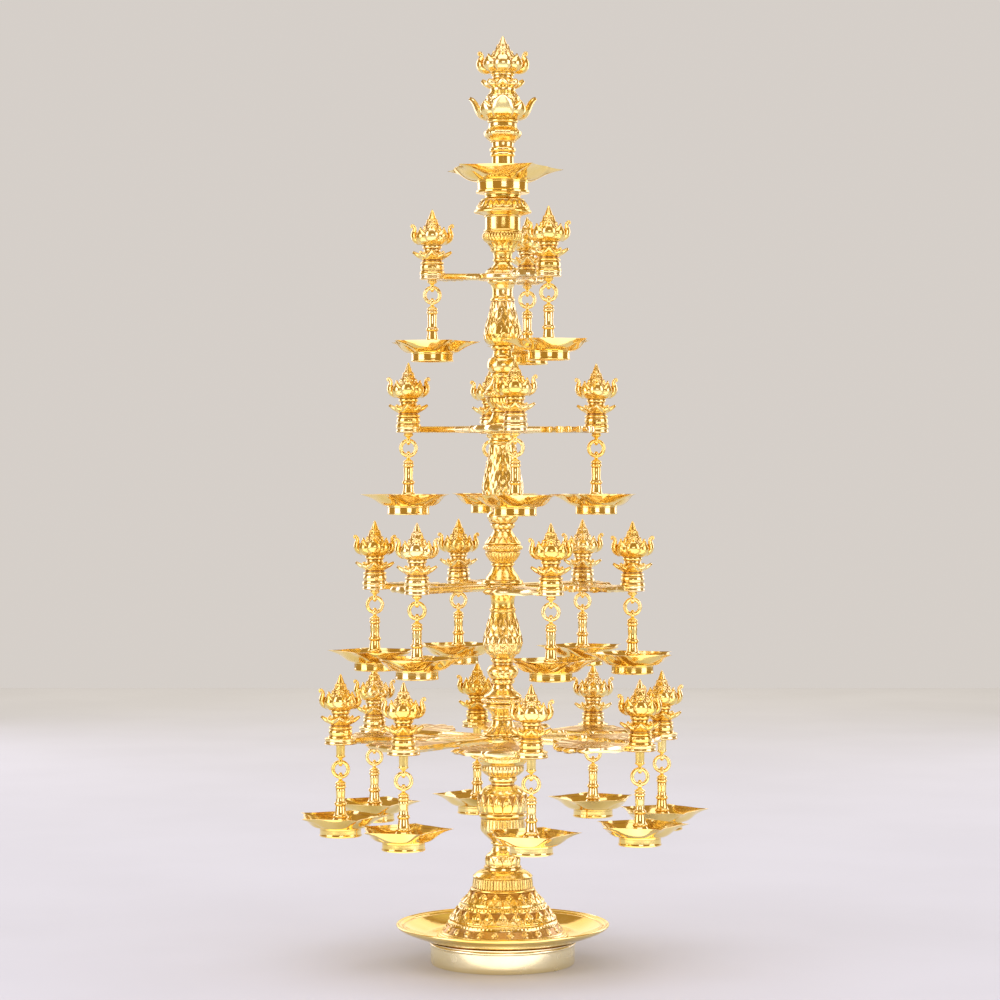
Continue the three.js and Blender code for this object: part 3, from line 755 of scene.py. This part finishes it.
def star_tray(tip, valley, rim, floor, foot, wall, count=180, rows=13):
    """A five-spouted bowl: its level rim runs from tip to valley and back five times, drawn out to
    narrow points at the spouts and rounded between, and eases to a circle at the foot."""
    angle = np.arange(count) * 2 * np.pi / count
    fold = np.abs((angle * 5 / (2 * np.pi) + 0.5) % 1 - 0.5) * 2
    spout = (1 - fold) ** 3.6
    star = valley + (tip - valley) * spout
    t = np.concatenate([np.linspace(0, 1, rows), np.linspace(1, 0, rows)])[:, None]
    inner = (np.arange(2 * rows) >= rows)[:, None]
    bottom = foot + 1.2 - inner
    r = bottom + (star - inner * wall - bottom) * t ** (0.74 + 0.6 * spout)
    lip = 0.5 * np.exp(-(((t - 0.95) / 0.04) ** 2)) * (1 - inner)
    z = floor + inner * wall + (rim - floor - inner * wall * 0.9) * t ** (1.6 - 0.85 * spout)
    ridge = 0.7 * np.exp(-((fold / 0.16) ** 2)) * t * (1 - t) * 4
    z = z - ridge * (1 - inner) - ridge * inner * 0.8
    # A dark ring is painted round the inside wall just below the rim; no groove is cut there.
    darkening = np.clip(0.6 * np.exp(-(((t - 0.84) / 0.05) ** 2)) * inner, 0, 1) + 0 * r
    points = np.stack([(r + lip) * np.cos(angle), (r + lip) * np.sin(angle), z], -1)
    caps = [np.arange(count)[::-1], np.arange(count) + (2 * rows - 1) * count]
    return points.reshape(-1, 3), grid_quads(2 * rows, count), caps, darkening.ravel()


lamp_foot = outline(
    (0.5, FOOT_BOTTOM + 2.5), None, (20.8, FOOT_BOTTOM + 2.5), None, (23.3, FOOT_BOTTOM), None,
    (26.4, FOOT_BOTTOM), (27.2, FOOT_BOTTOM + 0.6), (27.3, FOOT_BOTTOM + 1.6), None,
    (26.7, FOOT_BOTTOM + 2.4), (26.6, TRAY_FLOOR - 1.6), None, (27.3, TRAY_FLOOR - 1.2),
    (27.4, TRAY_FLOOR + 0.4), None, (0.5, TRAY_FLOOR + 0.4), steps=3,
)
lamp_post = outline(
    (0.5, -73.4), None, (14.2, -73.4), (14, -71.6), (12.8, -69.4), None, (12, -68.8),
    (11.4, -66.4), (8.6, -62), None, (9.4, -61), (9.4, -59.4), (8.4, -58.4), None, (7.4, -56),
    (6.6, -50), (6.3, -46.6), None, (7.5, -45.8), (8.1, -44), (7.5, -42.2), None, (6.3, -41.4),
    (5.7, -36), (6.1, -28), (5.8, -24.6), None, (6.7, -23.8), (7.2, -22), (6.7, -20.4), None,
    (5.9, -19.8), (6.9, -18.4), (6.4, -16.8), (4.6, -15.4), (3.2, -14.4), None, (0.5, -14),
    steps=3,
)
lamp_parts = [
    revolve(lamp_foot, 56),
    revolve(lamp_post, 32),
    moved(eye_loop(), z=-RING_RADIUS),
]
tray = star_tray(TRAY_TIP, TRAY_VALLEY, TRAY_RIM, TRAY_FLOOR, LAMP_FOOT, TRAY_WALL)
for number, tier in TIERS.items():
    for k, (x, y, turn) in enumerate(tier_places(tier), 1):
        name = f"lamp_t{number}_{k}"
        z = tier["z"] - tier["drop"]
        spout = SPOUT_DIRECTIONS[number][k - 1]
        shells = [moved(s, x, y, z) for s in [moved(tray, turn=spout), *lamp_parts]]
        piece(f"{name}_tray", shells, polished_brass, name, [name], 50)


# ---------------------------------------------------------------------------------------------
# Top lamp: a larger five-spouted bowl on its own flanged foot, with the finial's post standing in
# it: a plain turned stem with a double bead, screwed down into the goblet below.
BOWL_Z = 992.2
BOWL_RIM = BOWL_Z + 36
BOWL_FLOOR = BOWL_Z + 19
BOWL_TURN = 10

top_tray = star_tray(80.6, 62.4, BOWL_RIM, BOWL_FLOOR, 32.6, 2.3, 260, 15)
top_foot = outline(
    (22, BOWL_Z + 0.3), None, (23.4, BOWL_Z + 0.3), (23.2, BOWL_Z + 2), None, (24, BOWL_Z + 4),
    None, (33.4, BOWL_Z + 4), (34.5, BOWL_Z + 5), (34.3, BOWL_Z + 6.8), (33, BOWL_Z + 7.6), None,
    (32.4, BOWL_Z + 8), (32.6, BOWL_Z + 17.2), None, (33.4, BOWL_Z + 17.8), (33.2, BOWL_Z + 19.6),
    None, (22, BOWL_Z + 19.6), None, (22, BOWL_Z + 0.3), steps=4,
)[:-1]
piece(
    "top_bowl_star", [moved(top_tray, turn=BOWL_TURN), revolve(top_foot, 96, joined=True)],
    polished_brass, "stand", ["top_lamp_bowl"], 50,
)
stem = outline(
    (0.5, 1013), None, (19, 1014.4), (18.8, 1017), (16.6, 1019), None, (16, 1019.6),
    (15.4, 1024), (14.2, 1031), (13.8, 1043), None, (15.4, 1044), (16.2, 1046), (15.4, 1048),
    None, (14.6, 1048.6), (16.4, 1050), (17.1, 1052), (16.4, 1054), (14.6, 1055.4), None,
    (13.8, 1056), (13.9, 1061.2), None, (0.5, 1061.2),
)
piece("top_stem_turned", [revolve(stem, 96)], polished_brass, "stand", ["top_finial_stem"])


# ---------------------------------------------------------------------------------------------
# Top finial: the large lotus, cast and chased: a ringed knob, a collar of wing petals round a
# beaded cup, a second flare of petals, and a crown of curled petals round a ribbed bud.
core = outline(
    (0.5, 1061.5), None, (14.6, 1061.5), (17, 1063.4), (22, 1068), (24.6, 1072.4), (24, 1075.4),
    None, (21.6, 1077), (18.6, 1081), (17.6, 1086.4), None, (19.6, 1087.8), (19.6, 1089.6),
    (18.6, 1090.8), None, (23.4, 1092.4), (27.4, 1095.6), (30, 1100), (31, 1104.6), None,
    (29, 1105.6), (24, 1105.4), None, (23, 1109), (22, 1117), (19.6, 1123), None,
    (18.6, 1124.4), (16.4, 1128), (16.4, 1131.4), None, (18, 1133), (20.6, 1137.4),
    (19.4, 1141), None, (14.4, 1143.4), (13.4, 1147), None, (15, 1148.4), (15, 1150.4),
    (14, 1151.4), None, (17.6, 1152), (24, 1155.4), (27.4, 1160), (27.2, 1165), (23, 1169.4),
    None, (18.6, 1170.4), (15.4, 1172.8), (12.6, 1176.4), None, (12.9, 1177), (12.6, 1178.6),
    (11.2, 1179.8), None, (10, 1180.4), (8.6, 1183), (7.6, 1185.6), None, (7.7, 1186.2),
    (7.4, 1187.4), (6.6, 1188.2), None, (5.6, 1188.8), (4, 1192.6), (2.4, 1196.4), (0.6, 1199),
    steps=6,
)


def core_relief(angle, z):
    bands = window(z, 1092, 1104.4) * leaves(angle, z, 16, 1090, 1106, 1.6, 0.5)
    bands += window(z, 1107, 1122) * scales(angle, z, 10, 1106, 1123, 3, 1.0)
    bands += window(z, 1066, 1076) * reeds(angle, 30, 0.7)
    bands += window(z, 1153, 1169) * leaves(angle, z, 8, 1153, 1169, 1.9, 0.5)
    bands += window(z, 1171, 1179.4) * leaves(angle, z, 10, 1170.6, 1179.6, 1.2)
    return bands + window(z, 1180.6, 1188) * leaves(angle, z, 8, 1180.4, 1188, 0.8)


crown = [revolve(core, 112, core_relief)]
for k in range(8):
    big = k % 2 == 0
    wing = [(21, 1093.4), (27.4, 1097), (31.6, 1102.6), (35, 1110), (38.8, 1115.6), (43, 1119)]
    small = [(22, 1095), (28.6, 1099.6), (31.6, 1106), (32.4, 1113)]
    points = wing if big else small
    crown.append(petal(points, 15 if big else 13, 5.0, k * 45, 6, tip=0.04, belly=0.25, fold=0.2))
    flare = [(12, 1134), (17, 1135.4), (22.6, 1138), (27 if big else 23, 1142)]
    crown.append(petal(flare, 9.4, 5.0, k * 45, 6, tip=0.05, belly=0.3))
side_curl = [
    (14, 1155), (22, 1153.6), (28, 1156.6), (30.4, 1162), (29, 1167.6), (27.2, 1171.6),
    (27.6, 1175.4),
]
side_hook = [(26.8, 1173), (28, 1177), (30.6, 1177.4), (31, 1174.8), (29.6, 1173.8)]
for k in range(4):
    crown.append(petal(side_curl, 11, 4.8, k * 90, 6, tip=0.3, belly=0.45, fold=0.3, cup=-0.14))
    crown.append(petal(side_hook, 3, 1.8, k * 90, 5, tip=0.55, fold=0.0))
    flame = [(16, 1154), (24, 1156.4), (27.4, 1161.4), (26.4, 1167), (26.6, 1171.6)]
    crown.append(petal(flame, 10, 4.0, k * 90 + 45, 6, tip=0.09, fold=0.3, cup=-0.1))
    bud = [(19, 1164), (20, 1169), (18, 1173.4), (18.6, 1176.6)]
    crown.append(petal(bud, 6.8, 2.6, k * 90, 6, tip=0.1))
piece("top_finial_lotus", crown, cast_brass, "stand", ["top_finial"], 60)


# ---------------------------------------------------------------------------------------------
# Studio: a plain pale floor that meets an evenly lit pale room without a visible edge, large soft
# lights with warm reflections between them, and a camera a little above the middle of the lamp.
def studio_floor():
    """A wide level plane at the height the lamp stands on."""
    bpy.ops.mesh.primitive_plane_add(size=9.2, location=(0, 0, 0))
    floor = bpy.context.object
    floor.name = "studio_floor"
    paint = Finish("floor_paint")
    grain = paint.noise(3, 3).between(0.3, 0.7)
    paint.set(
        Base_Color=paint.mix(grain, (0.50, 0.475, 0.44, 1), (0.515, 0.49, 0.455, 1)),
        Roughness=0.9,
        Specular_IOR_Level=0.1,
    )
    floor.data.materials.append(paint.material)


studio_floor()

world = bpy.data.worlds.new("studio_air")
world.use_nodes = True
air = world.node_tree.nodes
wires = world.node_tree.links
ray = air.new("ShaderNodeLightPath")
room = air["Background"]
room.inputs["Color"].default_value = (0.95, 0.94, 0.93, 1)
for kind, colour in {
    "Is Glossy Ray": (0.44, 0.27, 0.09, 1),
    "Is Camera Ray": (0.67, 0.625, 0.585, 1),
}.items():
    glow = air.new("ShaderNodeBackground")
    glow.inputs["Color"].default_value = colour
    choice = air.new("ShaderNodeMixShader")
    wires.new(ray.outputs[kind], choice.inputs[0])
    wires.new(room.outputs[0], choice.inputs[1])
    wires.new(glow.outputs[0], choice.inputs[2])
    room = choice
wires.new(room.outputs[0], air["World Output"].inputs["Surface"])
bpy.context.scene.world = world


def soft_light(name, place, target, size, brightness, colour=(0.90, 0.91, 1.30)):
    """A rectangular soft box aimed at a point; a white wall lit as brightly as paper is 1."""
    lamp = bpy.data.lights.new(name, "AREA")
    lamp.shape = "RECTANGLE"
    lamp.size, lamp.size_y = size
    lamp.energy = brightness * size[0] * size[1] * math.pi
    lamp.color = colour
    thing = bpy.data.objects.new(name, lamp)
    thing.location = place
    way = Vector(target) - Vector(place)
    thing.rotation_euler = way.to_track_quat("-Z", "Y").to_euler()
    thing.visible_camera = False
    bpy.context.scene.collection.objects.link(thing)


soft_light("left_wall", (-3.0, -1.5, 1.4), (0, 0, 0.6), (2.0, 2.8), 2.6)
soft_light("right_wall", (3.0, -1.3, 1.3), (0, 0, 0.6), (1.8, 2.6), 2.4)
soft_light("front_low", (0.5, -5.2, 0.8), (0, 0, 0.5), (1.9, 1.2), 2.7)
soft_light("back_wide", (0, 4.6, 1.6), (0, 0, 0.4), (4.4, 2.4), 0.9, (1, 0.94, 0.84))
soft_light("floor_glow", (0, -0.76, 0.003), (0, -0.76, 1), (2.4, 1.28), 1.15, (1, 0.95, 0.9))
soft_light("ceiling", (0, -0.6, 3.1), (0, 0, 0.6), (3.2, 2.6), 1.6)
soft_light("back_left", (-2.0, 2.6, 1.5), (0, 0, 0.6), (1.4, 2.6), 2.2)
soft_light("back_right", (2.2, 2.4, 1.5), (0, 0, 0.6), (1.4, 2.6), 2.2)

lens = bpy.data.cameras.new("front_camera")
lens.lens = 102
lens.clip_end = 60
camera = bpy.data.objects.new("front_camera", lens)
camera.location = (0, -3.667, 0.640)
camera.rotation_euler = (math.radians(90 - 0.63), 0, math.radians(0.055))
bpy.context.scene.collection.objects.link(camera)
bpy.context.scene.camera = camera
bpy.context.scene.view_settings.view_transform = "Standard"
